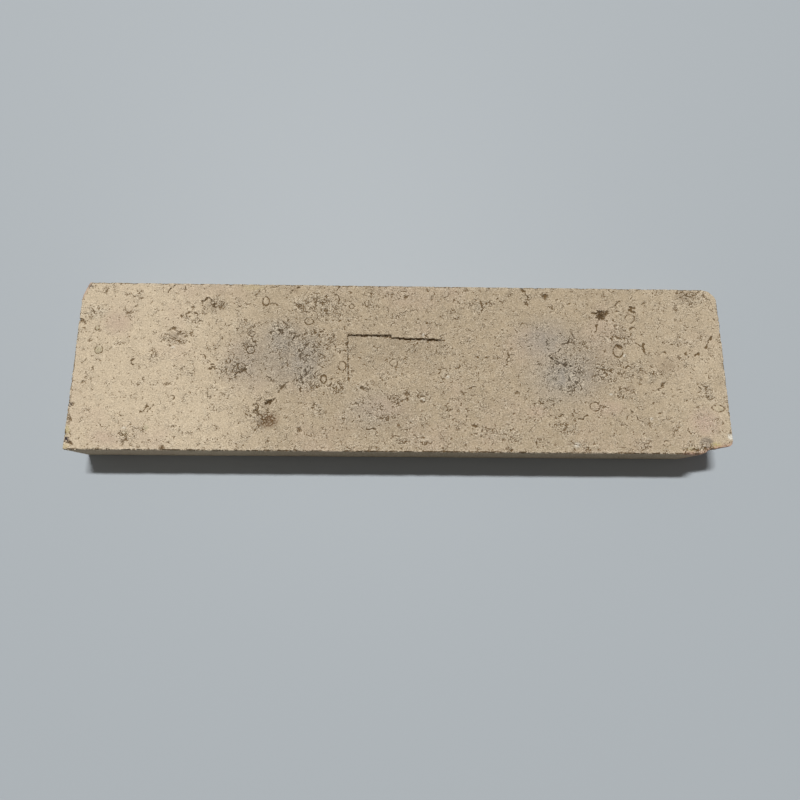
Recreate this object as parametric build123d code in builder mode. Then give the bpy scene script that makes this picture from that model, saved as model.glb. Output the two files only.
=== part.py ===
"""A stove firebrick: one long slab of grogged fireclay, pressed in a mould and fired, that lines the wall of a stove.

It lies on its plain bed face with the die-marked face up. Millimetres, +Z up, origin at the centre of the bed face,
+X along the length.
"""

import os
from math import cos, radians, sin, tan

from build123d import *

# The slab, 17 x 4 1/2 x 1 1/4 inches
LENGTH = 432.0
WIDTH = 114.0
THICKNESS = 32.0
ARRIS = 0.8  # how far the mould-sharp edges have worn round

# Two plain die impressions near the middle of the top face, which run together where they meet.
# The dies were tipped as they were pressed in, so each floor falls towards the back edge.
DIE_SIZES = [(28.4, 31.0), (32.6, 28.6)]  # of the floor, along the length and across it
DIE_CENTRES = [(-21.7, 5.8), (8.0, 4.8)]
DIE_TURNS = [0.5, -1.4]  # degrees about the vertical
DIE_DEPTH_BACK = 2.0
DIE_DEPTH_FRONT = 0.3
DIE_DRAFT = 8.0  # degrees that the left, back and front walls lean outwards
DIE_RAMPS = [8.0, 50.0]  # degrees that the right wall of each leans outwards

# Back right corner, worn round: the radius seen from above shrinks from the top face to the bed
ROUND_TOP = 12.0
ROUND_BED = 7.0

# Back left corner, a shallow spall that runs further along the end than along the side
SPALL_TOP = (4.4, 11.5)  # along the side, along the end
SPALL_BED = (1.6, 5.5)

# Front right corner, a flake broken off over the full thickness
FLAKE_LENGTH = 21.0  # along the side
FLAKE_STEP = (16.0, 3.3)  # the inner end of its steep step, from the end and from the side
FLAKE_HEEL = (2.4, 5.4)  # where the break turns into the end face
FLAKE_DEPTH = 7.2  # along the end

SPARE = 2.0  # how far the cutting shapes stand clear of the slab

END = LENGTH / 2
SIDE = WIDTH / 2


def worn_corner(radius, height):
    """The area that a corner worn to this radius has lost at this height, at the back right."""
    with BuildSketch(Plane.XY.offset(height)) as lost:
        with BuildLine():
            Polyline(
                (END, SIDE - radius),
                (END + SPARE, SIDE - radius),
                (END + SPARE, SIDE + SPARE),
                (END - radius, SIDE + SPARE),
                (END - radius, SIDE),
            )
            RadiusArc((END - radius, SIDE), (END, SIDE - radius), radius)
        make_face()
    return lost.sketch


def spalled_corner(along_side, along_end, height):
    """The area that the spall has taken at this height, at the back left."""
    with BuildSketch(Plane.XY.offset(height)) as lost:
        with BuildLine():
            Polyline(
                (-END, SIDE - along_end),
                (-END + along_side, SIDE),
                (-END + along_side, SIDE + SPARE),
                (-END - SPARE, SIDE + SPARE),
                (-END - SPARE, SIDE - along_end),
                close=True,
            )
        make_face()
    return lost.sketch


with BuildPart() as firebrick:
    with BuildSketch():
        Rectangle(LENGTH, WIDTH)
    extrude(amount=THICKNESS)
    fillet(firebrick.edges(), radius=ARRIS)

    # The two die impressions, each cut upwards from its tipped floor to a wider mouth above the slab
    rise = DIE_DEPTH_BACK + SPARE
    steep_run = rise * tan(radians(DIE_DRAFT))
    for (along, across), (x, y), turn, ramp in zip(DIE_SIZES, DIE_CENTRES, DIE_TURNS, DIE_RAMPS):
        tip = (DIE_DEPTH_BACK - DIE_DEPTH_FRONT) / across
        right_run = rise * tan(radians(ramp))
        floor = Plane(
            origin=(x, y, THICKNESS - (DIE_DEPTH_BACK + DIE_DEPTH_FRONT) / 2),
            x_dir=(cos(radians(turn)), sin(radians(turn)), -tip * sin(radians(turn))),
            z_dir=(0, tip, 1),
        )
        with BuildSketch(floor) as die_floor:
            Rectangle(along, across)
        with BuildSketch(floor.offset(rise)) as die_mouth:
            with Locations(((right_run - steep_run) / 2, 0)):
                Rectangle(along + steep_run + right_run, across + 2 * steep_run)
        loft([die_floor.sketch, die_mouth.sketch], mode=Mode.SUBTRACT)

    # The worn corner and the spalled one
    loft(
        [worn_corner(ROUND_BED, 0), worn_corner(ROUND_TOP, THICKNESS)],
        mode=Mode.SUBTRACT,
    )
    loft(
        [spalled_corner(*SPALL_BED, 0), spalled_corner(*SPALL_TOP, THICKNESS)],
        mode=Mode.SUBTRACT,
    )

    # The flake at the front right corner
    with BuildSketch():
        with BuildLine():
            Polyline(
                (END - FLAKE_LENGTH, -SIDE),
                (END - FLAKE_STEP[0], -SIDE + FLAKE_STEP[1]),
                (END - FLAKE_HEEL[0], -SIDE + FLAKE_HEEL[1]),
                (END, -SIDE + FLAKE_DEPTH),
                (END + SPARE, -SIDE + FLAKE_DEPTH),
                (END + SPARE, -SIDE - SPARE),
                (END - FLAKE_LENGTH, -SIDE - SPARE),
                close=True,
            )
        make_face()
    extrude(amount=THICKNESS, mode=Mode.SUBTRACT)

firebrick.part.label = "firebrick"
os.makedirs("parts", exist_ok=True)
export_step(firebrick.part, "parts/firebrick.step")
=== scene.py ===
from math import radians

import bpy
import numpy as np
from mathutils import Matrix, Vector, noise


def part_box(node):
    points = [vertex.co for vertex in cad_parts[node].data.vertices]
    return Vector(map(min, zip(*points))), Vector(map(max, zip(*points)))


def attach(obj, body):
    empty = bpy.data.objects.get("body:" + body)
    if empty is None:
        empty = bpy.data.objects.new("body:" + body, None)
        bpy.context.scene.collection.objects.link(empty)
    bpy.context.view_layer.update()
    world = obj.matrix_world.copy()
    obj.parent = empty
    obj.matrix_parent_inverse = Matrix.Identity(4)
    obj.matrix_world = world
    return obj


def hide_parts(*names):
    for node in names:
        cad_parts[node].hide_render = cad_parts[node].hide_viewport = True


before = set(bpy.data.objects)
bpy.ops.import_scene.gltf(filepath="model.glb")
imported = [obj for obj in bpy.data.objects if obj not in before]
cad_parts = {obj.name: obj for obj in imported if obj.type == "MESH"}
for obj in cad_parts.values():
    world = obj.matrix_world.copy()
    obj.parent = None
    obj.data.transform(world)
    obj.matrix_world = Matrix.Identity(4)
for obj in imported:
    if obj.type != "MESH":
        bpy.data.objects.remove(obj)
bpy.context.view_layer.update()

# The pressed slab
# One block of fireclay and crushed old firebrick, pressed in a steel mould and fired hard.
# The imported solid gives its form, divided here finely enough for the open joints and chips of the clay.
MM = 0.001
LOW, HIGH = (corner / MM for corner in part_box("firebrick"))
END = HIGH.x
SIDE = HIGH.y
TOP = HIGH.z
DIVISION = 0.5  # mm between the points of the divided slab

slab = bpy.data.objects.new("pressed_slab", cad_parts["firebrick"].data.copy())
bpy.context.scene.collection.objects.link(slab)


def settle(piece):
    """Makes the work of a piece's modifiers its own mesh."""
    bpy.context.view_layer.update()
    worked = piece.evaluated_get(bpy.context.evaluated_depsgraph_get())
    mesh = bpy.data.meshes.new_from_object(worked)
    piece.modifiers.clear()
    piece.data = mesh


divide = slab.modifiers.new("divide", "REMESH")
divide.mode = "VOXEL"
divide.voxel_size = DIVISION * MM
settle(slab)

places = np.zeros(len(slab.data.vertices) * 3, np.float32)
slab.data.vertices.foreach_get("co", places)
places = places.reshape(-1, 3) / MM

# The marks of the fired face
# Coarse grains shrink away from the clay as it dries, and leave rings, pits and short cracks round them.
# The larger ones lie where they do on the real brick, in mm from the middle of the slab.
RINGS = [  # x, y, width, height, how far open
    (-200.3, 9.3, 5.2, 5.4, 0.35),
    (-203.0, 24.3, 3.2, 3.0, 0.5),
    (-132.5, 4.4, 5.4, 5.2, 0.4),
    (-139.7, 28.6, 2.6, 2.6, 0.6),
    (-135.2, 29.0, 3.0, 3.0, 0.6),
    (-141.0, 33.6, 7.6, 6.4, 0.5),
    (-100.6, 10.2, 5.2, 5.2, 1.0),
    (-100.2, 21.4, 3.4, 3.4, 0.7),
    (-114.5, 2.5, 2.9, 3.2, 0.9),
    (-92.3, 44.6, 4.2, 6.4, 0.9),
    (-95.2, -28.4, 4.2, 4.0, 0.7),
    (-149.5, -22.6, 3.0, 2.8, 0.7),
    (-164.8, -42.3, 4.0, 4.0, 0.5),
    (-180.5, -33.3, 3.6, 3.6, 0.6),
    (-62.6, 30.7, 5.4, 4.4, 0.7),
    (-51.5, -9.2, 3.8, 6.0, 0.9),
    (-39.5, -0.1, 5.2, 6.2, 0.8),
    (-13.1, -28.0, 2.6, 3.0, 0.7),
    (63.6, 50.2, 3.6, 5.0, 0.5),
    (154.6, 35.0, 6.0, 6.0, 0.7),
    (144.8, 12.1, 6.6, 8.4, 1.0),
    (126.8, -26.0, 6.4, 6.0, 0.7),
    (208.6, -26.5, 8.2, 4.8, 0.6),
    (172.0, -50.0, 4.6, 4.0, 0.5),
    (-94.5, -5.5, 5.0, 5.0, 0.3),
    (-106.0, -1.0, 5.0, 4.6, 0.5),
    (-23.8, 44.0, 3.0, 4.6, 0.5),
    (-34.2, 41.6, 3.2, 3.2, 0.6),
    (-5.6, 2.6, 5.0, 5.0, 0.6),
    (13.8, -22.0, 4.0, 4.0, 0.6),
]
PITS = [  # x, y, length, width, turn in degrees, depth
    (-199.4, 51.0, 5.0, 2.0, 90, 0.8),
    (-186.6, 48.5, 2.6, 2.2, 0, 0.9),
    (-182.7, 48.7, 2.0, 1.6, 20, 0.7),
    (-178.3, 47.6, 2.6, 1.6, -40, 0.8),
    (-175.8, 45.6, 3.4, 1.6, -50, 0.9),
    (-208.3, 35.7, 3.2, 1.4, 70, 0.7),
    (-202.0, 35.7, 3.0, 1.4, 15, 0.8),
    (-203.8, 33.0, 3.0, 1.2, 0, 0.6),
    (-214.6, 29.9, 3.0, 2.4, -30, 1.4),
    (-211.9, 27.5, 3.4, 1.6, -40, 1.0),
    (-211.5, 24.0, 2.4, 2.0, 0, 0.8),
    (-206.7, 16.0, 4.2, 2.4, 15, 0.6),
    (-198.5, 5.7, 2.6, 1.0, 20, 0.7),
    (-202.5, -3.3, 3.4, 2.2, 60, 0.9),
    (-206.0, -9.0, 2.6, 1.4, 60, 0.7),
    (-207.6, -12.2, 3.4, 2.2, 30, 0.9),
    (-213.6, -28.0, 3.6, 3.0, 90, 1.0),
    (-213.8, -37.4, 6.8, 2.8, -80, 1.0),
    (-86.4, -24.8, 5.6, 1.8, 24, 2.0),
    (-214.2, -50.0, 4.0, 3.0, 0, 1.2),
    (-211.5, -52.6, 4.0, 2.0, -20, 1.4),
    (-206.5, -49.3, 2.4, 1.4, 30, 0.9),
    (-183.2, 35.7, 5.2, 2.4, 15, 0.9),
    (-178.7, 39.8, 2.6, 1.6, 40, 0.9),
    (-183.2, -19.0, 2.4, 1.0, 90, 0.8),
    (-165.2, 8.8, 4.8, 2.8, -50, 0.9),
    (-148.2, 51.7, 2.6, 1.6, -20, 0.9),
    (-153.1, 24.1, 6.8, 2.2, 25, 1.0),
    (-140.6, 21.2, 4.0, 2.6, 0, 0.9),
    (-146.8, 15.8, 6.6, 3.0, -10, 1.0),
    (-153.1, 13.3, 4.2, 2.2, 15, 0.7),
    (-141.0, 39.8, 3.0, 2.0, 40, 1.0),
    (-122.2, 40.7, 4.4, 3.2, 60, 1.0),
    (-130.7, 19.1, 2.0, 1.4, 40, 0.8),
    (-106.9, -4.6, 5.6, 1.8, 20, 1.1),
    (-118.1, -5.5, 3.4, 1.4, 35, 0.8),
    (-153.6, -13.6, 6.2, 2.4, 15, 0.7),
    (-116.3, -20.3, 5.4, 2.2, -10, 0.8),
    (-115.0, 12.4, 4.0, 2.4, 0, 0.7),
    (-146.8, -41.8, 3.2, 2.0, -30, 1.0),
    (-129.3, -40.9, 3.0, 1.8, -40, 0.8),
    (-132.0, -37.4, 1.8, 1.4, 0, 0.9),
    (-106.4, -52.6, 2.4, 2.0, 30, 1.0),
    (-178.3, -52.2, 4.2, 2.2, 55, 0.9),
    (-164.8, -51.7, 3.0, 1.6, 30, 0.9),
    (-149.5, -52.2, 3.0, 1.6, -20, 0.9),
    (-153.1, -55.0, 4.6, 2.6, 100, 1.2),
    (-211.0, 53.4, 3.6, 2.2, 10, 0.8),
    (-69.3, 41.7, 7.6, 2.4, -5, 1.0),
    (-59.2, 50.9, 3.4, 1.8, 20, 1.0),
    (-35.2, 51.8, 2.4, 2.2, 40, 1.0),
    (-20.8, 50.9, 3.2, 1.8, 0, 1.0),
    (2.3, 48.5, 3.0, 2.4, 20, 1.1),
    (1.8, 38.7, 1.6, 1.2, 0, 0.8),
    (-65.5, 21.5, 3.0, 1.6, 10, 0.9),
    (-25.1, -15.0, 4.6, 3.0, -25, 1.5),
    (3.8, -18.8, 4.2, 3.2, -35, 1.2),
    (-30.4, -25.6, 4.2, 1.6, 10, 0.8),
    (-27.5, -33.8, 2.8, 1.8, -60, 1.3),
    (-38.2, -35.2, 2.4, 1.8, 30, 1.1),
    (-14.5, -34.2, 4.2, 1.8, 10, 0.9),
    (6.2, -37.9, 2.2, 1.8, 20, 1.0),
    (-66.0, -42.9, 2.8, 2.2, 40, 1.3),
    (2.8, -49.6, 5.6, 1.8, -15, 0.9),
    (14.3, -47.7, 4.4, 2.2, -20, 0.8),
    (35.0, 46.5, 2.8, 2.0, 60, 1.0),
    (29.7, -5.9, 2.6, 2.0, 50, 1.0),
    (97.4, 50.8, 4.8, 3.4, -50, 1.4),
    (67.4, 40.1, 2.4, 2.0, 20, 1.0),
    (134.8, 37.4, 4.4, 4.2, 20, 2.2),
    (138.4, 38.6, 3.0, 2.2, 40, 1.5),
    (164.4, 46.4, 4.0, 1.8, 0, 1.0),
    (157.8, 43.1, 2.6, 1.8, 10, 1.1),
    (143.7, 30.6, 3.8, 1.8, -10, 1.0),
    (171.5, 53.5, 2.4, 1.8, 60, 0.9),
    (139.9, 21.4, 4.4, 2.0, -10, 1.0),
    (145.3, 15.6, 3.4, 2.2, -10, 1.4),
    (136.6, 12.1, 3.0, 1.6, -50, 1.0),
    (124.1, 14.8, 6.0, 1.6, -5, 1.0),
    (125.7, 18.1, 2.4, 1.4, 20, 0.9),
    (115.9, -10.8, 4.8, 2.2, 15, 1.1),
    (113.2, -15.1, 4.2, 3.0, 60, 0.8),
    (136.1, -4.2, 4.6, 2.6, -40, 1.0),
    (172.5, -10.8, 3.2, 2.6, 60, 1.5),
    (169.8, -13.5, 2.8, 1.8, 10, 1.2),
    (149.1, -13.5, 4.0, 1.8, -15, 1.0),
    (201.4, -13.0, 3.2, 2.2, 30, 1.1),
    (202.0, -19.0, 5.2, 3.0, -40, 1.2),
    (191.6, 18.6, 4.6, 1.8, 15, 1.0),
    (200.3, 21.4, 2.6, 1.2, 20, 0.8),
    (185.6, 34.7, 2.6, 2.2, 0, 0.9),
    (196.5, 51.8, 5.6, 2.4, -20, 1.1),
    (206.9, 52.4, 3.0, 2.2, 0, 1.0),
    (120.8, -23.3, 2.4, 2.2, 60, 0.9),
    (106.6, -40.2, 9.6, 2.6, 85, 0.9),
    (76.1, -17.3, 2.2, 1.8, 0, 0.9),
    (125.2, -50.5, 2.6, 1.8, 30, 0.9),
    (70.2, -54.9, 3.2, 2.2, 30, 1.2),
    (-67.4, -56.6, 2.2, 2.0, 90, 1.2),
    (-42.5, 31.5, 5.0, 2.0, 10, 0.8),
    (-36.0, 31.4, 3.0, 2.0, 0, 0.8),
    (-47.5, -13.5, 3.0, 2.5, 40, 0.9),
    (-44.0, -15.0, 3.5, 2.0, -30, 0.9),
    (-40.0, -15.2, 3.0, 2.2, 60, 0.9),
    (-57.5, -28.0, 3.4, 2.2, 30, 0.8),
    (-55.6, -32.4, 3.0, 2.0, 60, 0.8),
    (-50.5, -54.5, 3.0, 1.6, 20, 1.0),
    (-16.0, -51.0, 3.4, 1.6, 10, 0.8),
    (-3.6, -1.4, 2.6, 2.0, 45, 0.9),
    (2.4, 2.4, 3.0, 1.4, -40, 0.7),
    (22.0, -13.6, 2.6, 1.8, 90, 0.8),
    (44.4, 53.6, 2.6, 1.8, 0, 0.9),
    (59.6, -43.0, 2.4, 1.6, 60, 0.8),
    (65.5, -48.5, 3.4, 2.4, 80, 0.8),
    (73.0, -31.8, 3.4, 2.0, 20, 0.9),
    (74.0, -44.6, 2.6, 2.0, 0, 0.8),
    (84.6, 45.2, 4.0, 1.8, 80, 0.9),
    (113.5, 45.0, 4.0, 1.4, 20, 0.8),
    (117.0, 45.8, 2.0, 1.6, 0, 0.9),
    (122.5, 44.2, 2.6, 1.6, -20, 0.8),
    (100.4, 39.4, 3.0, 1.4, 30, 0.7),
    (91.8, -2.4, 1.8, 1.6, 0, 0.9),
    (87.5, -4.5, 3.4, 1.2, 30, 0.6),
    (110.6, -8.0, 3.0, 2.2, 80, 0.9),
    (109.6, -13.6, 3.0, 2.0, 20, 0.9),
    (111.0, -17.6, 2.4, 2.0, 0, 0.9),
    (138.4, -8.0, 3.0, 1.8, 90, 0.9),
    (137.4, 29.0, 2.4, 1.4, 80, 0.8),
    (147.5, -32.8, 4.0, 1.8, 60, 0.8),
    (158.0, -10.4, 2.2, 2.0, 0, 0.9),
    (166.0, 2.2, 2.4, 2.2, 30, 0.9),
    (155.6, 22.0, 2.0, 1.4, 0, 0.8),
    (158.2, 39.8, 2.4, 1.4, 0, 1.0),
    (164.8, 40.0, 2.2, 1.6, -20, 0.8),
    (163.6, -39.2, 2.4, 1.8, 60, 0.8),
    (179.6, -39.0, 4.0, 1.4, 5, 0.8),
    (181.4, 20.0, 2.4, 1.8, 30, 0.8),
    (204.0, -5.6, 3.4, 2.0, 70, 0.8),
    (212.4, 35.4, 2.4, 1.8, 0, 0.9),
    (214.8, -28.2, 3.0, 1.8, -40, 1.0),
    (215.2, -37.6, 2.4, 2.2, 0, 1.2),
    (214.4, -43.2, 3.4, 1.4, 15, 1.0),
    (210.3, -35.8, 2.0, 1.6, 60, 0.9),
    (206.1, -34.0, 2.4, 1.4, 80, 0.8),
    (202.9, -42.6, 3.4, 1.4, -50, 0.9),
    (111.8, -54.0, 2.4, 1.8, 20, 0.9),
]
CRACKS = [  # width, then the points that it runs through
    (1.0, [(-136.0, 43.8), (-131.6, 46.5), (-127.5, 44.3), (-126.2, 40.2), (-127.5, 37.5)]),
    (0.7, [(-148.2, 33.5), (-140.1, 37.1), (-137.9, 33.0)]),
    (0.9, [(-114.5, 43.4), (-111.0, 41.8), (-107.3, 41.1)]),
    (0.7, [(-90.2, 43.3), (-84.5, 42.0)]),
    (0.8, [(-93.0, 41.2), (-94.8, 38.9)]),
    (0.8, [(-99.0, 12.4), (-98.2, 15.4), (-98.8, 17.6)]),
    (0.8, [(-176.2, 3.8), (-177.6, 1.6), (-176.4, -1.4)]),
    (0.9, [(-158.0, 49.0), (-157.8, 52.4), (-154.8, 54.8)]),
    (1.2, [(-110.0, -6.9), (-107.2, -4.8), (-102.9, -2.8)]),
    (1.6, [(-89.4, -26.2), (-87.0, -24.4), (-84.4, -23.7)]),
    (0.9, [(-83.7, -23.3), (-80.8, -20.4), (-79.8, -15.5), (-76.5, -12.7)]),
    (0.9, [(-94.7, -29.7), (-92.5, -33.8), (-88.0, -34.6)]),
    (0.9, [(-75.6, 50.2), (-73.0, 53.6), (-70.0, 55.6)]),
    (0.9, [(-45.4, 50.0), (-42.6, 48.2), (-43.4, 43.0)]),
    (0.8, [(-85.2, 26.2), (-82.3, 24.4), (-80.2, 22.4)]),
    (0.9, [(-73.0, 18.4), (-68.0, 21.0)]),
    (0.8, [(-54.0, 22.8), (-51.4, 25.8)]),
    (0.7, [(-52.0, 12.9), (-47.7, 17.7)]),
    (0.8, [(-66.4, -6.0), (-65.6, -11.6), (-66.6, -17.6)]),
    (0.8, [(-3.5, -25.6), (0.4, -23.4), (4.2, -22.2)]),
    (0.7, [(51.4, 47.4), (54.2, 43.4), (54.4, 38.6)]),
    (0.6, [(54.2, 43.6), (57.4, 45.2)]),
    (0.8, [(40.3, -32.3), (43.2, -37.1), (51.8, -41.9), (51.8, -46.7)]),
    (0.8, [(24.2, -3.6), (26.4, -1.4), (29.0, -0.8)]),
    (0.8, [(81.0, 55.5), (84.0, 51.6), (86.5, 48.6)]),
    (1.0, [(128.4, 39.3), (132.4, 38.2)]),
    (0.9, [(138.6, 39.6), (142.6, 43.1), (149.1, 47.5)]),
    (0.9, [(112.6, 19.2), (107.2, 16.5), (105.0, 13.2), (102.3, 9.4)]),
    (1.1, [(98.6, 8.2), (104.5, 3.4), (112.6, 1.2)]),
    (0.7, [(129.5, 0.3), (135.0, -0.4), (140.4, -0.4)]),
    (0.9, [(150.6, -28.2), (153.4, -32.4), (157.3, -36.9)]),
    (0.8, [(203.8, 14.6), (206.8, 19.4), (208.8, 22.6)]),
    (0.9, [(85.0, -22.8), (88.2, -24.4), (92.0, -25.0)]),
    (0.8, [(96.0, -32.4), (101.0, -33.8), (106.0, -32.2)]),
    (0.8, [(115.6, -34.8), (121.6, -32.6)]),
    (0.9, [(155.4, -48.2), (158.4, -50.4), (161.6, -52.6)]),
    (0.8, [(156.6, -52.4), (160.2, -49.4)]),
    (0.7, [(68.2, 12.8), (71.4, 9.6), (75.4, 8.4)]),
    (0.7, [(72.0, 8.8), (70.0, 5.6)]),
    (0.4, [(-169.0, -32.4), (-166.8, -30.2), (-164.0, -28.4)]),
    (0.3, [(-165.4, -32.6), (-161.6, -28.6)]),
    (0.7, [(-126.5, -0.2), (-122.5, -0.2)]),
    (0.7, [(-126.5, -2.8), (-121.5, -2.2)]),
    (0.7, [(-80.0, 31.0), (-77.0, 28.0)]),
    (0.7, [(-76.5, -12.7), (-73.4, -10.6)]),
    (0.6, [(-90.0, -7.0), (-86.0, -8.5), (-84.0, -12.0)]),
    (0.6, [(-88.0, 9.0), (-82.0, 8.5)]),
    (0.7, [(-16.8, 47.0), (-17.6, 41.5)]),
    (0.7, [(-22.0, -42.5), (-18.0, -41.4), (-15.0, -41.8)]),
    (0.7, [(38.4, 8.6), (38.0, 3.0), (37.8, -4.0)]),
    (0.8, [(35.6, -9.6), (39.0, -7.8)]),
    (0.7, [(131.6, 32.0), (130.4, 26.0), (127.4, 22.5)]),
    (0.7, [(112.6, 26.0), (114.6, 22.6), (116.6, 20.8)]),
    (0.7, [(143.6, 43.6), (146.6, 40.6), (148.8, 38.4)]),
    (0.9, [(156.4, 43.4), (155.0, 40.4), (158.8, 39.8)]),
    (0.8, [(150.6, 26.6), (154.0, 28.0), (157.4, 28.6)]),
    (0.6, [(157.0, 17.0), (162.0, 15.4), (164.0, 18.6)]),
    (0.6, [(162.0, 15.4), (162.0, 11.0)]),
    (0.7, [(147.6, 0.6), (150.4, 1.8), (153.6, 0.2)]),
    (0.6, [(172.0, 9.0), (175.0, 12.0), (177.0, 11.6)]),
    (0.7, [(188.5, 9.4), (190.5, 10.8), (192.0, 9.0)]),
    (0.7, [(196.0, 9.5), (199.4, 11.4)]),
    (0.7, [(201.0, 7.6), (203.6, 4.6)]),
    (0.6, [(167.4, -30.6), (170.0, -29.4), (172.6, -30.8)]),
    (0.8, [(86.6, -51.0), (88.4, -49.0), (89.0, -46.5)]),
    (1.0, [(184.5, -54.2), (190.0, -53.7)]),
    (1.0, [(191.0, -53.8), (197.5, -52.8)]),
]
TORN_AND_SHADED_DIE_EDGES = [  # where the clay tore as the dies came out, darkened as painted shade along the feet of the die walls
    (1.0, [(-36.2, 21.2), (-7.3, 21.1)]),
    (1.2, [(-5.0, 19.7), (28.4, 18.4)]),
    (0.9, [(-36.3, 21.3), (-35.8, 12.0), (-35.5, -1.0), (-35.1, -10.4)]),
    (1.6, [(-37.0, 20.2), (-36.8, 18.4)]),
    (1.8, [(-37.2, 15.6), (-37.0, 14.4)]),
    (1.0, [(-41.8, 8.6), (-40.6, 10.2), (-38.6, 10.7), (-36.0, 9.8)]),
]
MARKED_DEPTH = 4.0  # mm below the top face, where its lowest marks start
BEND_SIZE = 2.8  # mm across the bends in the rim of a mark
FRET_SIZE = 1.1  # mm across the finer bends
PATCH_SIZE = 2.2  # mm across the patches in which a line is more open or less
LOOSEST = 1.2  # the most that the clay along a line is loosened
LINE_REACH = 0.8  # mm that a ring, crack or die edge loosens the clay either side
RING_DEPTH = 0.6
SHUT_RING = 0.5  # how loose the clay is round a ring that is hardly open
OPEN_RING = 0.55  # how much looser it is round one that is fully open
RING_PATCHES = 0.6  # how much that varies from patch to patch
PIT_LOOSE = 0.66  # how loose the clay is in the middle of a pit
PIT_DEEPER = 0.14  # how much looser for each mm of its depth
PIT_FADE = 0.3  # how much less loose at its rim
CRACK_DEPTH = 0.8  # for each mm of width
CRACK_LOOSE = 0.8
CRACK_PATCHES = 0.8
DIE_EDGE_DEPTH = 0.4
DIE_EDGE_LOOSE_AND_SHADE = 0.48
DIE_EDGE_PATCHES = 0.35
CRUMBLED = 0.24  # how loose the clay is at the rim of a mark
CRUMB_REACH = 3.5  # mm from the rim to where the clay is sound
LUMP_SEED = 3
noise.seed_set(LUMP_SEED)  # the lumps of the clay are the same in each run


def lumps(points, size):
    """A push for each point, much the same for points nearer to each other than this size."""
    return np.array([noise.noise_vector(Vector(point) / size) for point in points])


def from_path(points, path):
    """How far each point is from a run of straight lines."""
    nearest = np.full(len(points), np.inf)
    for start, stop in zip(path, path[1:]):
        start = np.array(start)
        run = np.array(stop) - start
        share = np.clip((points - start) @ run / (run @ run), 0, 1)
        gap = np.linalg.norm(points - start - share[:, None] * run, axis=1)
        nearest = np.minimum(nearest, gap)
    return nearest


def from_middle(points, x, y, length, width, turn=0):
    """How far out each point lies in an ellipse: 0 at its middle and 1 at its rim."""
    off = points - (x, y)
    along = np.array((np.cos(radians(turn)), np.sin(radians(turn))))
    across = np.array((-along[1], along[0]))
    return np.hypot(off @ along / (length / 2), off @ across / (width / 2))


on_face = np.flatnonzero(places[:, 2] > TOP - MARKED_DEPTH)
bends = lumps(places[on_face], BEND_SIZE)
frets = lumps(places[on_face], FRET_SIZE)
patchy = lumps(places[on_face], PATCH_SIZE)[:, 0]
hollow = np.zeros(len(places))  # how deep the clay is lost where it opens, in mm
loose = np.zeros(len(places))  # how near it is to opening: about half of it is open at 0.56


def wandered(by_bends, by_frets):
    """The face's points in plan, pushed aside by so many mm to give the marks laid on them uneven rims."""
    return (places[on_face] + by_bends * bends + by_frets * frets)[:, :2]


smooth_face = wandered(by_bends=0.5, by_frets=0.2)
ragged_face = wandered(by_bends=1.6, by_frets=0.8)


def patched(looseness, patches):
    """How loose the clay is along a line, more in some patches than in others."""
    return np.clip(looseness + patches * patchy, 0, LOOSEST)


def mark(shape, depth, strength=1.0):
    """Lays a mark, given over the top face as 1 along its middle, over those that are there."""
    hollow[on_face] = np.maximum(hollow[on_face], np.clip(shape, 0, 1) * depth)
    loose[on_face] = np.maximum(loose[on_face], shape * strength)


def crumble(rim):
    """Loosens the clay round a mark, less and less with the distance from its rim."""
    loose[on_face] = np.maximum(loose[on_face], CRUMBLED * (1 - rim / CRUMB_REACH))


for x, y, width, height, opened in RINGS:
    rim = np.abs(from_middle(smooth_face, x, y, width, height) - 1) * min(width, height) / 2
    mark(1 - rim / LINE_REACH, RING_DEPTH, patched(SHUT_RING + OPEN_RING * opened, RING_PATCHES))
    crumble(rim)
for x, y, length, width, turn, depth in PITS:
    spread = from_middle(ragged_face, x, y, length, width, turn)
    mark(PIT_LOOSE + PIT_DEEPER * depth - PIT_FADE * spread, depth)
    crumble((spread - 1) * width / 2)
for width, path in CRACKS:
    rim = from_path(ragged_face, path) - width / 4
    mark(1 - rim / LINE_REACH, CRACK_DEPTH * width, patched(CRACK_LOOSE, CRACK_PATCHES))
    crumble(rim)
# The torn clay along the die walls is real, and its brown there is painted shade where the walls cast their
# shadow.
for width, path in TORN_AND_SHADED_DIE_EDGES:
    rim = from_path(smooth_face, path) - width / 2
    mark(1 - rim / LINE_REACH, DIE_EDGE_DEPTH, patched(DIE_EDGE_LOOSE_AND_SHADE, DIE_EDGE_PATCHES))

# The worn arrises
# The edges left the mould sharp and have crumbled since, in small bites all the way round.
# The break at the front right corner, the spall at the back left and the chips beside them show raw clay.
BITE_REACH = 2.2  # mm in from the arris that a bite goes
BITE_DEPTH = 0.5
BITE_SIZE = 6.0  # mm along the arris
NIBBLE_SIZE = 2.0  # mm along the arris, of the small bites among the large ones
NIBBLE_SHARE = 0.6  # how strong the small bites are beside the large ones
ARRIS_LOOSE = 0.75  # how loose the clay is along the arris between the bites
BREAKS = [  # reach, depth, how far down it goes, then the line that it follows
    (2.6, 0.3, 40.0, [(195.0, -57.0), (200.0, -53.7), (213.6, -51.6), (216.0, -49.8)]),
    (3.4, 0.1, 7.0, [(184.0, -57.4), (196.0, -57.0)]),
    (2.2, 0.2, 40.0, [(-216.0, 45.5), (-211.6, 57.0)]),
]
BREAK_FADE = 5.0  # mm over which a break runs out downwards
CRUMB_SIZE = 4.0  # mm across the crumbs of a break
CRUMB_SETS = (1.0, 2.0, 3)  # how fast finer crumbs weaken, how many times finer each set is, how many sets
CRUMB_LOSS = 0.6  # the share of a break's depth that is lost on average

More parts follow.
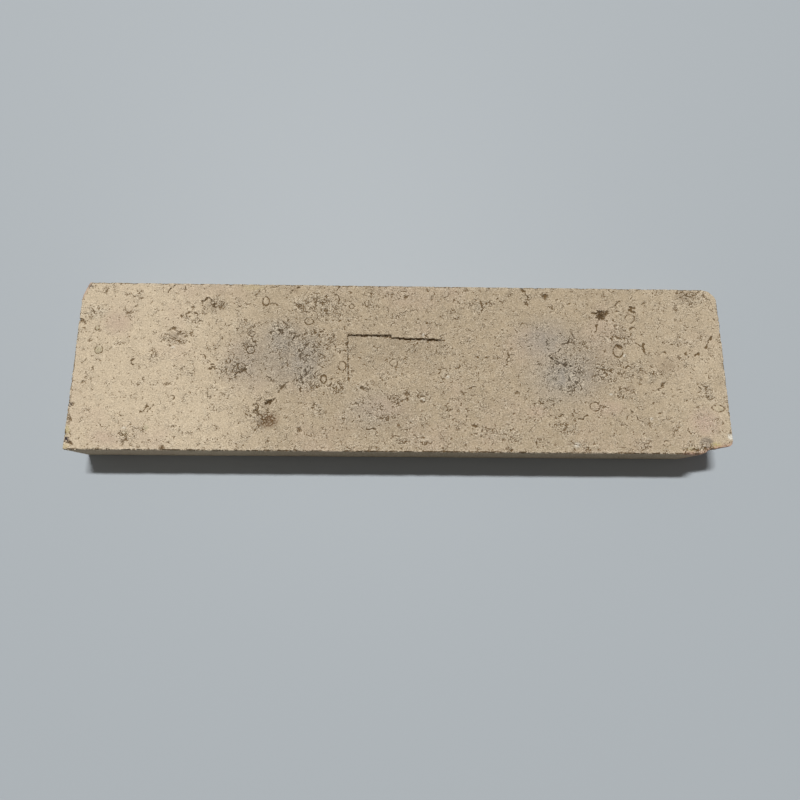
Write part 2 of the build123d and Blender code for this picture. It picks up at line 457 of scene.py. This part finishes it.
off_end = END - np.abs(places[:, 0])
off_side = SIDE - np.abs(places[:, 1])
off_face = np.minimum(places[:, 2], TOP - places[:, 2])
to_faces = np.sort(np.stack((off_end, off_side, off_face)), axis=0)
from_arris = to_faces[1]  # an arris is as far off as the second nearest face
by_arris = np.flatnonzero(from_arris < BITE_REACH)
bitten = 1 - from_arris[by_arris] / BITE_REACH
bites = lumps(places[by_arris], BITE_SIZE)[:, 0] + NIBBLE_SHARE * lumps(places[by_arris], NIBBLE_SIZE)[:, 0]
hollow[by_arris] = np.maximum(hollow[by_arris], BITE_DEPTH * bitten)
loose[by_arris] = np.maximum(loose[by_arris], bitten * np.clip(ARRIS_LOOSE + bites, 0, LOOSEST))

raw = np.zeros(len(places))  # how much of the raw clay shows
lost = np.zeros(len(places))  # how deep the breaks have gone, in mm
for reach, depth, drop, path in BREAKS:
    broken = np.clip(1 - from_path(places[:, :2], path) / reach, 0, 1)
    broken *= np.clip((places[:, 2] - TOP + drop) / BREAK_FADE, 0, 1)
    rough = np.flatnonzero(broken)
    crumbs = np.array([noise.fractal(Vector(place) / CRUMB_SIZE, *CRUMB_SETS) for place in places[rough]])
    lost[rough] = np.maximum(lost[rough], depth * broken[rough] * np.clip(CRUMB_LOSS + crumbs, 0, 1))
    raw = np.maximum(raw, broken)

# Crumbly clay: where the joints between the grains stand open most
CRUMBLY = [  # x, y, reach along and across, how crumbly
    (-205.0, 36.0, 9.0, 7.0, 0.9),
    (-178.0, 47.0, 11.0, 6.0, 0.7),
    (-150.0, 18.0, 13.0, 9.0, 0.7),
    (-140.0, 32.0, 11.0, 8.0, 0.7),
    (-125.0, 42.0, 9.0, 8.0, 0.9),
    (-108.0, 27.0, 14.0, 9.0, 0.8),
    (-101.0, 14.0, 10.0, 12.0, 0.9),
    (-112.0, -1.0, 14.0, 10.0, 1.0),
    (-80.0, 23.0, 14.0, 10.0, 1.0),
    (-91.0, -32.0, 11.0, 11.0, 1.0),
    (-165.0, 4.0, 11.0, 7.0, 0.6),
    (-114.0, -18.0, 11.0, 7.0, 0.7),
    (-176.0, -46.0, 12.0, 9.0, 0.7),
    (-104.0, -48.0, 12.0, 7.0, 0.6),
    (-55.0, 42.0, 24.0, 15.0, 1.0),
    (-59.0, 13.0, 20.0, 20.0, 0.95),
    (-60.0, -10.0, 14.0, 12.0, 1.0),
    (-68.0, 10.0, 36.0, 30.0, 0.7),
    (-43.0, -15.0, 10.0, 7.0, 0.9),
    (-25.0, -18.0, 14.0, 9.0, 0.7),
    (-15.0, -32.0, 16.0, 10.0, 0.7),
    (6.0, -48.0, 18.0, 7.0, 0.8),
    (14.0, -20.0, 9.0, 7.0, 0.7),
    (8.0, 45.0, 14.0, 9.0, 0.5),
    (48.0, 44.0, 16.0, 11.0, 0.7),
    (38.0, 4.0, 9.0, 18.0, 0.6),
    (68.0, 6.0, 12.0, 14.0, 0.6),
    (70.0, -46.0, 10.0, 10.0, 0.8),
    (-57.0, -29.0, 9.0, 8.0, 0.8),
    (104.0, 8.0, 8.0, 10.0, 0.9),
    (112.0, 2.0, 32.0, 32.0, 0.7),
    (114.0, -12.0, 10.0, 9.0, 1.0),
    (135.0, -4.0, 13.0, 9.0, 1.0),
    (122.0, 14.0, 10.0, 7.0, 0.9),
    (146.0, 23.0, 15.0, 11.0, 0.9),
    (152.0, 0.0, 15.0, 11.0, 0.8),
    (166.0, -4.0, 10.0, 10.0, 0.7),
    (148.0, -16.0, 12.0, 6.0, 0.8),
    (202.0, -15.0, 9.0, 10.0, 0.8),
    (95.0, -23.0, 14.0, 6.0, 0.8),
    (108.0, -38.0, 13.0, 11.0, 0.8),
    (90.0, -50.0, 10.0, 6.0, 0.7),
    (114.0, -52.0, 10.0, 6.0, 0.8),
    (158.0, -50.0, 10.0, 6.0, 0.8),
    (196.0, 48.0, 18.0, 11.0, 0.9),
    (188.0, 18.0, 16.0, 7.0, 0.6),
    (192.0, 8.0, 17.0, 6.0, 0.6),
    (194.0, -53.0, 18.0, 5.0, 0.9),
]
CRUMBLIEST = 0.8  # how crumbly the middle of the worst of these is
CRUMBLY_FADE = 1.4  # times its reach, where each of them ends
SOUND = 0.34  # how crumbly the clay is elsewhere
MIDDLE = 20  # mm along the slab, at the middle of a more crumbly stretch
MIDDLE_FADE = 60  # mm over which that stretch runs out either way
MIDDLE_REACH = 1.5  # times that, where it ends
MIDDLE_MORE = 0.1  # how much more crumbly it is
LEFT = -140  # mm along the slab, where the sounder left end starts
LEFT_FADE = 30  # mm over which it gets sounder
LEFT_LESS = 0.1  # how much less crumbly it is
ARRIS_CRUMBLY = 0.9

in_middle = np.clip(MIDDLE_REACH - np.abs(places[:, 0] - MIDDLE) / MIDDLE_FADE, 0, 1)
crumbly = SOUND + MIDDLE_MORE * in_middle
crumbly -= LEFT_LESS * np.clip((LEFT - places[:, 0]) / LEFT_FADE, 0, 1)
for x, y, along, across, share in CRUMBLY:
    spread = from_middle(places[on_face, :2], x, y, 2 * along, 2 * across)
    patch = CRUMBLIEST * share * np.clip(CRUMBLY_FADE - spread, 0, 1)
    crumbly[on_face] = np.maximum(crumbly[on_face], patch)
crumbly[by_arris] = np.maximum(crumbly[by_arris], ARRIS_CRUMBLY * bitten)

PAINTED = {"hollow": hollow, "loose": loose, "crumbly": crumbly, "raw": raw, "lost": lost}
for name, values in PAINTED.items():
    layer = slab.data.attributes.new(name, "FLOAT", "POINT")
    layer.data.foreach_set("value", values.astype(np.float32))

# The grain of the clay
# Between the larger marks lie sand, open joints and specks, in torn patches with smooth ones between.
# The same sums shape the slab and colour it, so each joint is dark where it is open.


def join(tree, value, socket):
    """Sets a socket to a number, or links what feeds it."""
    if isinstance(value, Field):
        value = value.socket
    if isinstance(value, bpy.types.NodeSocket):
        tree.links.new(value, socket)
    else:
        socket.default_value = value


class Field:
    """A number or a place that varies over the clay.

    Sums with it become nodes in its own tree, which shapes the slab, colours it or lights the room.
    """

    def __init__(self, tree, socket):
        self.tree = tree
        self.socket = socket

    def node(self, kind, inputs, output=0, **settings):
        """What comes out of a new node of this kind."""
        made = self.tree.nodes.new(kind)
        for name, value in settings.items():
            setattr(made, name, value)
        for name, value in inputs.items():
            join(self.tree, value, made.inputs[name])
        return Field(self.tree, made.outputs[output])

    def sum(self, operation, *others):
        """What an operation makes of this number and others."""
        values = dict(enumerate((self, *others)))
        return self.node("ShaderNodeMath", values, operation=operation)

    def __add__(self, other):
        return self.sum("ADD", other)

    def __sub__(self, other):
        return self.sum("SUBTRACT", other)

    def __mul__(self, other):
        return self.sum("MULTIPLY", other)

    def most(self, other):
        """The greater of the two at each place."""
        return self.sum("MAXIMUM", other)

    def least(self, other):
        """The lesser of the two at each place."""
        return self.sum("MINIMUM", other)

    def parts(self):
        """The three numbers of a place or a colour."""
        split = self.tree.nodes.new("ShaderNodeSeparateXYZ")
        join(self.tree, self, split.inputs[0])
        return [Field(self.tree, part) for part in split.outputs]

    def rise(self, low, high):
        """0 below low and 1 above high, or the other way round where low is the greater."""
        inputs = {"Value": self, "From Min": low, "From Max": high}
        return self.node("ShaderNodeMapRange", inputs, interpolation_type="SMOOTHSTEP")

    def from_to(self, low, high):
        """Low where this is 0 and high where it is 1."""
        return self * (high - low) + low

    def moved(self, push, reach):
        """This place, pushed aside by a vector."""
        inputs = {0: push, 1: (reach, reach, reach), 2: self}
        return self.node("ShaderNodeVectorMath", inputs, operation="MULTIPLY_ADD")

    def noise(self, size, detail, output="Fac"):
        """Soft patches of about this size, 0.5 on average, with so many layers of finer ones in them."""
        inputs = {"Vector": self, "Scale": 1 / size, "Detail": detail}
        return self.node("ShaderNodeTexNoise", inputs, output)

    def cells(self, size, feature="F1", output="Distance"):
        """Grains of about this size, packed side by side."""
        inputs = {"Vector": self, "Scale": 1 / size}
        return self.node("ShaderNodeTexVoronoi", inputs, output, feature=feature)


SAND_SIZE = 0.8  # mm across the grains of sand
TEAR_SIZE = 8.0  # mm across the torn patches
TEARS = 1.3  # how much the patches differ
WANDER = 3.0  # mm that a joint wanders, in bends of about that size
JOINT_SIZE = 4.6  # mm across the grains that the open joints run round
JOINT_REACH = 0.9  # mm that a joint loosens the clay either side
JOINT_STRETCH = 4.0  # mm of a joint that stands open at a time
STROKE_SIZE = 3.2  # mm between the finer strokes
STROKE_NARROW = 10.0  # how narrow they are
STROKE_STRETCH = 2.6  # mm of a stroke that stands open at a time
ARC_SIZE = 8.0  # mm between the coarse grains that arcs stand open round
ARC_LEAST = 0.8  # mm from the middle of the smallest coarse grain to its arc
ARC_MORE = 2.2  # mm by which the arc of the largest is further out
ARC_REACH = 0.8  # mm that an arc loosens the clay either side
ARC_STRETCH = 3.4  # mm of an arc that stands open at a time
ARC_LOOSE = 0.6
TORN_LOOSE = 0.16
CLUMP_SIZE = 2.2  # mm across the clumps that come away together in a torn patch
CLUMPS = 0.3  # how much they come away
LIPS = (0.16, 0.36)  # how loose the clay is where the pale lips of a joint start, and where they are full
OPENS = (0.46, 0.66)  # how loose it is where it starts to open, and where it is fully open


def open_clay(place, crumbly, loose):
    """How far the clay is open at a place in mm, how far it has pale lips, its sand and how torn it is."""
    uneven = place.moved(place.noise(WANDER, detail=3.0, output="Color"), WANDER)
    sand = place.noise(SAND_SIZE, detail=1.0)
    torn = ((place.noise(TEAR_SIZE, detail=3.0) - 0.5) * TEARS + crumbly).rise(0.1, 1.0)

    def stretches(length):
        """Where a line stands open, in stretches of about this length."""
        return (place.noise(length, detail=1.0) + torn * 0.1).rise(0.5, 0.62)

    to_joint = uneven.cells(JOINT_SIZE, "DISTANCE_TO_EDGE") * (-JOINT_SIZE / JOINT_REACH) + 1.0
    joints = to_joint * stretches(JOINT_STRETCH)
    strokes = (place.noise(STROKE_SIZE, detail=2.0) - 0.5).sum("ABSOLUTE") * -STROKE_NARROW + 1.0
    strokes = strokes * stretches(STROKE_STRETCH)
    lines = joints.most(strokes) * torn.from_to(0.57, 0.87)

    picked, grain_size = uneven.cells(ARC_SIZE, output="Color").parts()[:2]
    off_arc = (uneven.cells(ARC_SIZE) * ARC_SIZE - grain_size * ARC_MORE - ARC_LEAST).sum("ABSOLUTE")
    arcs = (off_arc * (-1 / ARC_REACH) + 1.0) * place.noise(ARC_STRETCH, detail=1.0).rise(0.4, 0.62)
    arcs = arcs * picked.rise(0.7, 0.74)

    looseness = loose.most(lines).most(arcs * ARC_LOOSE).most(torn * TORN_LOOSE)
    clumps = (place.noise(CLUMP_SIZE, detail=1.0) - 0.5) * torn * CLUMPS
    level = looseness + clumps + (sand - 0.5) * torn.from_to(1.0, 1.4)
    opened = level.rise(*OPENS)
    lips = level.rise(*LIPS) * opened.from_to(1.0, 0.0)
    return opened, lips, sand, torn


LEAST_DEPTH = 0.45  # of a joint or a speck
SWELL = 0.2  # how far the faces swell and dip between the marks
SWELL_SIZE = 26.0  # mm across each swell
BED_RUBBED = (1.0, 6.0)  # mm above the bed, between which the marks get to their full depth
BED_SHARE = 0.3  # of that depth, for the marks on the bed

press = bpy.data.node_groups.new("open_the_clay", "GeometryNodeTree")
press.interface.new_socket("Geometry", in_out="INPUT", socket_type="NodeSocketGeometry")
press.interface.new_socket("Geometry", in_out="OUTPUT", socket_type="NodeSocketGeometry")
enter = press.nodes.new("NodeGroupInput")
leave = press.nodes.new("NodeGroupOutput")
position = Field(press, press.nodes.new("GeometryNodeInputPosition").outputs[0])
normal = Field(press, press.nodes.new("GeometryNodeInputNormal").outputs[0])
place = position.node("ShaderNodeVectorMath", {0: position, "Scale": 1 / MM}, operation="SCALE")
keep = press.nodes.new("GeometryNodeStoreNamedAttribute")
keep.data_type = "FLOAT_VECTOR"
keep.domain = "POINT"
keep.inputs["Name"].default_value = "place"
join(press, place, keep.inputs["Value"])
move = press.nodes.new("GeometryNodeSetPosition")
press.links.new(enter.outputs[0], keep.inputs["Geometry"])
press.links.new(keep.outputs[0], move.inputs["Geometry"])
press.links.new(move.outputs[0], leave.inputs[0])


def painted(name):
    """A painted layer of the slab, in the tree that shapes it."""
    return position.node("GeometryNodeInputNamedAttribute", {"Name": name}, "Attribute", data_type="FLOAT")


opened = open_clay(place, painted("crumbly"), painted("loose"))[0]
off_bed = place.parts()[2].rise(*BED_RUBBED).from_to(BED_SHARE, 1.0)
depth = opened * painted("hollow").most(LEAST_DEPTH) * off_bed + painted("lost")
depth = depth + place.noise(SWELL_SIZE, detail=2.0) * SWELL
push = normal.node("ShaderNodeVectorMath", {0: normal, "Scale": depth * -MM}, operation="SCALE")
join(press, push, move.inputs["Offset"])

shape = slab.modifiers.new("open_the_clay", "NODES")
shape.node_group = press
settle(slab)

FACES = 190_000  # triangles of the finished slab
SHARP = 40.0  # degrees between faces from which their edge shows
thin = slab.modifiers.new("thin", "DECIMATE")
thin.use_collapse_triangulate = True
slab.data.calc_loop_triangles()
thin.ratio = FACES / len(slab.data.loop_triangles)
settle(slab)
slab.data.shade_smooth()
slab.data.set_sharp_from_angle(angle=radians(SHARP))

# The six faces laid flat on one sheet for prints of the finish, in rows: ends, sides, bed and top
SHEET_GAP = 3.0  # mm between the faces on the sheet
RIM = 8.0  # the walls of marks further in than this are laid with the top
rest = np.zeros(len(slab.data.vertices) * 3, np.float32)
slab.data.attributes["place"].data.foreach_get("vector", rest)
corner_points = np.zeros(len(slab.data.loops), np.int32)
slab.data.loops.foreach_get("vertex_index", corner_points)
facets = rest.reshape(-1, 3)[corner_points].reshape(-1, 3, 3)
facing = np.cross(facets[:, 1] - facets[:, 0], facets[:, 2] - facets[:, 0])
x, y, z = facets.mean(axis=1).T
of_marks = (np.abs(x) < END - RIM) & (np.abs(y) < SIDE - RIM) & (z > TOP / 2)
way = np.where(of_marks, 2, np.abs(facing).argmax(axis=1))  # 0, 1 or 2 for facing along x, y or z
far = of_marks | (facing[np.arange(len(facing)), way] > 0)
row = TOP + SHEET_GAP
starts = np.array(  # where the zero point of each face lies on the sheet, the near face of a pair first
    [
        [(SIDE, 0), (3 * SIDE + SHEET_GAP, 0)],
        [(END, row), (END, 2 * row)],
        [(END, 3 * row + SIDE), (END, 3 * row + 3 * SIDE + SHEET_GAP)],
    ]
)
sheet_size = np.array((2 * END, 3 * row + 4 * SIDE + SHEET_GAP)) + 2 * SHEET_GAP
along_sheet = np.where(way[:, None] == 0, facets[:, :, 1], facets[:, :, 0])
up_sheet = np.where(way[:, None] == 2, facets[:, :, 1], facets[:, :, 2])
laid = np.stack((along_sheet, up_sheet), axis=2) + starts[way, far.astype(int)][:, None, :] + SHEET_GAP
sheet = slab.data.uv_layers.new(name="OFBake")
sheet.data.foreach_set("uv", (laid / sheet_size).astype(np.float32).ravel())

# Fired clay
# Buff clay with paler and darker grains, brown in every joint, and lightest at the left end, which is partly
# painted light, with painted shade over the middle.
# Smoke has left two grey patches either side of the die marks, and iron has bled out in a few brown spots.


def colour(red, green, blue):
    """A colour given from 0 to 255 as a screen shows it, as light."""
    parts = np.array((red, green, blue)) / 255
    light = np.where(parts <= 0.04045, parts / 12.92, ((parts + 0.055) / 1.055) ** 2.4)
    return (*light, 1.0)


PALE = colour(207, 190, 163)
BUFF = colour(179, 162, 136)
PINK = colour(190, 168, 148)
GRIT = colour(236, 223, 200)
CHALK = colour(230, 225, 211)
COARSE = colour(184, 172, 140)
JOINT = colour(99, 76, 44)
DEEP_SHADE_BLACK = colour(80, 61, 37)
SULPHUR = colour(188, 176, 112)
SMOKE = colour(158, 150, 139)
SOOT = colour(150, 137, 120)
SOOTED = colour(74, 66, 56)
RUST = colour(106, 79, 52)
RAW = colour(182, 140, 122)
BURNT = colour(66, 57, 62)

clay = bpy.data.materials.new("fired_clay")
clay.use_nodes = True
shader = clay.node_tree
finish = shader.nodes["Principled BSDF"]


def worn(name, output="Fac"):
    """A painted layer of the slab, in the tree that colours it."""
    layer = shader.nodes.new("ShaderNodeAttribute")
    layer.attribute_name = name
    return Field(shader, layer.outputs[output])


def mixed(share, first, second):
    """One colour over another by a share."""
    made = shader.nodes.new("ShaderNodeMix")
    made.data_type = "RGBA"
    join(shader, share, made.inputs["Factor"])
    join(shader, first, made.inputs[6])
    join(shader, second, made.inputs[7])
    return Field(shader, made.outputs[2])


def shaded(base, amount):
    """A colour made lighter or darker."""
    return base.node("ShaderNodeVectorMath", {0: base, "Scale": amount}, operation="SCALE")


STAIN_DEPTH = 8.0  # mm below the top face at which its stains end


def blots(stains):
    """How strong a set of stains is at each place.

    Each stain has its middle, its reach along and across, and its strength.
    """
    strongest = None
    for x, y, along_reach, across_reach, strength in stains:
        scale = (1 / along_reach, 1 / across_reach, 1 / STAIN_DEPTH)
        shift = (-x / along_reach, -y / across_reach, -TOP / STAIN_DEPTH)
        spread = place.node("ShaderNodeVectorMath", {0: place, 1: scale, 2: shift}, operation="MULTIPLY_ADD")
        reach = spread.node("ShaderNodeVectorMath", {0: spread}, "Value", operation="LENGTH")
        stain = reach.rise(1.0, 0.1) * strength
        strongest = strongest.most(stain) if strongest else stain
    return strongest


BUFF_SLANT = 0.2  # how far the border of the pale left end leans
BUFF_STARTS = (-160.0, -80.0)  # mm along the slab, between which most of the pale end turns buff
BUFF_ENDS = (-90.0, 20.0)  # mm along it, between which the rest does
BUFF_FADES = (215.0, 120.0)  # mm along it, between which the buff fades towards the right end
CLOUD_SIZE = 26.0  # mm across the clouds of pale and buff
CLOUDS = 0.7  # how much they differ
FLUSH_SIZE = 40.0  # mm across the pink flushes
FLUSH = 0.4  # how pink they are

place = worn("place", "Vector")
opened, lips, sand, torn = open_clay(place, worn("crumbly"), worn("loose"))
along, across, height = place.parts()
# Pale at the left end, buff through the middle and paler again towards the right end: partly the clay's own
# tone, partly painted light at the ends and painted shade over the middle.
slope = along + across * BUFF_SLANT
fired_tone_and_light = slope.rise(*BUFF_STARTS) * 0.75 + along.rise(*BUFF_ENDS) * 0.25
fired_tone_and_light = fired_tone_and_light * along.rise(*BUFF_FADES).from_to(0.55, 1.0)
fired_tone_and_light = fired_tone_and_light + place.noise(CLOUD_SIZE, detail=3.0) * CLOUDS - CLOUDS / 2
base = mixed(fired_tone_and_light.rise(0.0, 1.0), PALE, BUFF)
base = mixed(place.noise(FLUSH_SIZE, detail=2.0).rise(0.5, 0.75) * FLUSH, base, PINK)

PINKS = [  # where the clay has fired pink
    (199.0, -36.0, 15.0, 14.0, 1.0),
    (-12.0, -28.0, 22.0, 12.0, 0.6),
    (-190.0, 28.0, 14.0, 12.0, 0.6),
    (-190.0, -49.0, 16.0, 8.0, 0.6),
    (136.0, -27.0, 16.0, 8.0, 0.5),
    (88.0, -30.0, 10.0, 7.0, 0.5),
]
COARSES = [  # dull yellow coarse grains
    (-200.5, 9.2, 4.0, 4.0, 0.9),
    (-177.5, -46.5, 4.0, 4.0, 0.7),
    (-164.4, -42.2, 3.2, 3.2, 0.8),
    (-202.8, 24.2, 2.4, 2.2, 0.7),
    (208.6, -26.5, 4.4, 2.8, 0.5),
]
base = mixed(blots(PINKS), base, PINK)
base = mixed(blots(COARSES), base, COARSE)

SMOKES = [  # where smoke has greyed the clay
    (-65.0, 3.0, 17.0, 25.0, 0.6),
    (-82.0, 18.0, 22.0, 20.0, 0.55),
    (-88.0, 2.0, 42.0, 30.0, 0.3),
    (98.0, 18.0, 30.0, 24.0, 0.7),
    (106.0, -5.0, 34.0, 28.0, 0.75),
    (-22.0, -30.0, 22.0, 20.0, 0.25),
]
SOOTS = [  # where soot has browned it
    (198.0, -49.4, 6.5, 5.2, 2.4),
    (-72.0, 8.0, 34.0, 30.0, 0.7),
    (-104.0, 4.0, 22.0, 26.0, 0.5),
    (128.0, 4.0, 28.0, 34.0, 0.45),
    (-14.0, -30.0, 44.0, 26.0, 0.25),
]
PUFF_SIZE = 9.0  # mm across the puffs that smoke and soot lie in
puffs = place.noise(PUFF_SIZE, detail=4.0).from_to(0.35, 1.55)
smoked = (blots(SMOKES) * puffs).least(1.0)
base = mixed((blots(SOOTS) * puffs).least(1.0), base, SOOT)
base = mixed(smoked, base, SMOKE)

GRIT_SIZE = 0.6  # mm across the finest grains
GROUND = 0.94  # the lightness of the clay, before its sand and grains change it
GRAINS = 0.06  # how much one grain is lighter than the next
SIDE_PAINTED_SHADE = 0.1  # how much darker the clay is below the top face
DIE_PAINTED_SHADE = 0.1  # how much darker it is in the die marks


def sunk(none, full):
    """0 at one depth below the top face and 1 at the other, in mm."""
    return height.rise(TOP - none, TOP - full)


grain = place.cells(JOINT_SIZE, output="Color").parts()[0]
grit = place.noise(GRIT_SIZE, detail=0.0)
# Painted shade: the floors of the die marks are made darker.
painted_shade_in_die = sunk(0.2, 1.4) * sunk(5.0, 4.0)
# Painted shade: the clay on the faces below the top is made darker.
painted_shade_below_top = sunk(4.0, 0.5).from_to(-SIDE_PAINTED_SHADE, 0.0)
sandy = (sand - 0.5) * torn.from_to(0.55, 1.25) + (grit - 0.5) * torn.from_to(0.5, 1.2)
base = shaded(base, sandy + grain * GRAINS + painted_shade_below_top + GROUND - painted_shade_in_die * DIE_PAINTED_SHADE)
base = mixed(grit.rise(0.56, 0.7) * torn.from_to(0.1, 0.6), base, GRIT)
base = mixed(lips * torn.from_to(0.15, 0.6), base, GRIT)

CHALKS = [  # chalky white grains
    (214.6, -45.2, 2.7, 2.9, 1.5),
    (149.0, 9.0, 1.8, 1.6, 0.6),
    (113.6, -51.4, 3.2, 2.4, 0.7),
    (13.8, -22.2, 2.0, 2.0, 0.5),
    (30.4, -7.0, 1.8, 1.6, 0.7),
    (163.6, -33.8, 1.6, 1.4, 0.7),
    (138.0, -17.6, 1.8, 1.2, 0.6),
    (-178.4, -42.6, 2.2, 1.4, 0.4),
    (-151.6, 11.6, 2.0, 1.4, 0.5),
    (14.0, 22.0, 2.0, 1.6, 0.6),
]
base = mixed(blots(CHALKS), base, CHALK)

RUSTS = [  # where iron has bled out
    (-86.5, -37.0, 10.0, 8.0, 1.4),
    (-88.0, -27.0, 6.0, 5.0, 0.4),
    (-125.0, 40.0, 7.0, 6.0, 0.35),
    (-73.0, 53.0, 7.0, 5.0, 0.4),
    (-150.0, 19.0, 12.0, 8.0, 0.25),
    (194.0, 52.0, 13.0, 6.0, 0.5),
    (150.0, -14.0, 6.0, 4.0, 0.5),
    (177.0, 2.0, 9.0, 8.0, 0.25),
]
BURNS = [  # dark burnt spots at the left end
    (-214.5, -50.0, 4.0, 4.5, 1.0),
    (-215.0, -28.0, 3.0, 3.5, 0.9),
    (-211.5, 53.7, 4.5, 3.0, 0.9),
]
SULPHURS = [  # yellow bloom along the arrises
    (-214.5, -44.5, 3.0, 5.0, 0.8),
    (-214.5, -55.0, 4.0, 3.0, 0.5),
    (-101.0, 54.5, 12.0, 3.5, 0.3),
    (188.0, -54.0, 6.0, 3.0, 0.5),
    (204.5, -51.0, 5.5, 3.0, 1.0),
]
RUST_SIZE = 1.6  # mm across the specks that rust lies in
RAW_SIZE = 6.0  # mm across the patches of raw clay
JOINT_COVER = 0.88  # how far the brown of a joint covers the clay
DEEP = (0.8, 1.8)  # mm, the depths between which a hollow turns black
DEEP_COVER = 0.75  # how black it turns
specked = place.noise(RUST_SIZE, detail=2.0).rise(0.36, 0.62) * 0.6 + sand.rise(0.36, 0.62) * 0.6
base = mixed((blots(RUSTS) * specked).least(1.0), base, RUST)
base = mixed(blots(SULPHURS) * sand.rise(0.36, 0.6), base, SULPHUR)
base = mixed(worn("raw") * (sand + 0.3) * place.noise(RAW_SIZE, detail=3.0).rise(0.3, 0.55), base, RAW)
base = mixed(opened * JOINT_COVER, base, shaded(mixed(smoked, JOINT, SOOTED), sand * 2.0))
# Painted shade: the deeper a hollow is, the blacker its open clay is made.
base = mixed(worn("hollow").rise(*DEEP) * opened * DEEP_COVER, base, DEEP_SHADE_BLACK)
base = mixed(blots(BURNS) * opened, base, BURNT)

ROUGHNESS = 0.92
SHINE = 0.2
SAND_HEIGHT = 1.3  # mm, the most that sand stands up
join(shader, base, finish.inputs["Base Color"])
finish.inputs["Roughness"].default_value = ROUGHNESS
finish.inputs["Specular IOR Level"].default_value = SHINE
bump = shader.nodes.new("ShaderNodeBump")
bump.inputs["Distance"].default_value = SAND_HEIGHT * MM
bump.inputs["Strength"].default_value = 1.0
join(shader, sand * torn.from_to(0.3, 1.05) + grit * torn.from_to(0.05, 0.25), bump.inputs["Height"])
shader.links.new(bump.outputs[0], finish.inputs["Normal"])

slab.data.materials.clear()
slab.data.materials.append(clay)
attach(slab, "root")
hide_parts("firebrick")

# The bench top
# A plain pale painted sheet, larger than the view, that the brick lies on.
# It is there for the picture alone, and is no part of the brick.
BENCH = 12.0  # m from its middle to each edge
BENCH_GREY = colour(168, 175, 180)
BENCH_ROUGHNESS = 0.6
bench_mesh = bpy.data.meshes.new("bench_top")
corners = [(x * BENCH, y * BENCH, LOW.z * MM) for x, y in ((-1, -1), (1, -1), (1, 1), (-1, 1))]
bench_mesh.from_pydata(corners, [], [(0, 1, 2, 3)])
bench = bpy.data.objects.new("bench_top", bench_mesh)
bpy.context.scene.collection.objects.link(bench)
paint = bpy.data.materials.new("bench_paint")
paint.use_nodes = True
coat = paint.node_tree.nodes["Principled BSDF"]
coat.inputs["Base Color"].default_value = BENCH_GREY
coat.inputs["Roughness"].default_value = BENCH_ROUGHNESS
bench_mesh.materials.append(paint)

# The light
# A row of ceiling lights a little behind the brick, which runs to its left, and an even room round it.
# The far wall of the room looks pale, and lights the brick no more than the rest of the room does.
KEY_LEAN = 22.4  # degrees behind the vertical
KEY_SWINGS = (-1.5, 1.25, 4.0, 6.75, 9.5)  # degrees to the left of it
KEY_STRENGTH = 3.0  # of them all
KEY_SPREAD = 3.5  # degrees that each fills, seen from the brick
ROOM_STRENGTH = 0.14
ROOM_TINT = (1.0, 0.92, 0.84, 1.0)
FAR_WALL = colour(190, 195, 199)
key = bpy.data.lights.new("ceiling_light", "SUN")
key.energy = KEY_STRENGTH / len(KEY_SWINGS)
key.angle = radians(KEY_SPREAD)
for number, swing in enumerate(KEY_SWINGS):
    key_lamp = bpy.data.objects.new(f"ceiling_light_{number}", key)
    key_lamp.rotation_euler = (radians(-KEY_LEAN), radians(-swing), 0)
    bpy.context.scene.collection.objects.link(key_lamp)
room = bpy.data.worlds.new("room")
room.use_nodes = True
walls = room.node_tree
near_walls = walls.nodes["Background"]
near_walls.inputs["Color"].default_value = ROOM_TINT
near_walls.inputs["Strength"].default_value = ROOM_STRENGTH
far_wall = walls.nodes.new("ShaderNodeBackground")
far_wall.inputs["Color"].default_value = FAR_WALL
ray = walls.nodes.new("ShaderNodeLightPath")
seen = Field(walls, ray.outputs["Is Camera Ray"])
seen = seen.most(Field(walls, ray.outputs["Is Glossy Ray"]))
seen = seen.most(Field(walls, ray.outputs["Is Transmission Ray"]))
either_wall = walls.nodes.new("ShaderNodeMixShader")
join(walls, seen, either_wall.inputs[0])
join(walls, near_walls.outputs[0], either_wall.inputs[1])
join(walls, far_wall.outputs[0], either_wall.inputs[2])
join(walls, either_wall.outputs[0], walls.nodes["World Output"].inputs["Surface"])
bpy.context.scene.world = room

# The camera
# Held over the brick, a little to the front of it, and leaning back to look at its middle.
# Its place and its lens are those that fit the edges of the brick in the photograph.
CAMERA_PLACE = (-7.0, -97.1, 388.7)  # mm from the middle of the bed
CAMERA_LEAN = 11.77  # degrees that it looks to the back from straight down
CAMERA_SWING = -0.92  # degrees that it looks to the left
CAMERA_ROLL = 0.34  # degrees that it is turned about its line of sight
FOCUS_PIXELS = 557.8  # the focal length, in pixels of the 800 pixel frame
FRAME_PIXELS = 800
SENSOR = 36.0  # mm wide
NEAREST = 0.01  # m from the lens that a thing can be and still show
lens = bpy.data.cameras.new("camera")
lens.sensor_width = SENSOR
lens.lens = SENSOR * FOCUS_PIXELS / FRAME_PIXELS
lens.clip_start = NEAREST
camera = bpy.data.objects.new("camera", lens)
aim = (
    Matrix.Rotation(radians(CAMERA_SWING), 4, "Y")
    @ Matrix.Rotation(radians(CAMERA_LEAN), 4, "X")
    @ Matrix.Rotation(radians(CAMERA_ROLL), 4, "Z")
)
camera.matrix_world = Matrix.Translation(Vector(CAMERA_PLACE) * MM) @ aim
bpy.context.scene.collection.objects.link(camera)
bpy.context.scene.camera = camera
bpy.context.scene.view_settings.view_transform = "Standard"
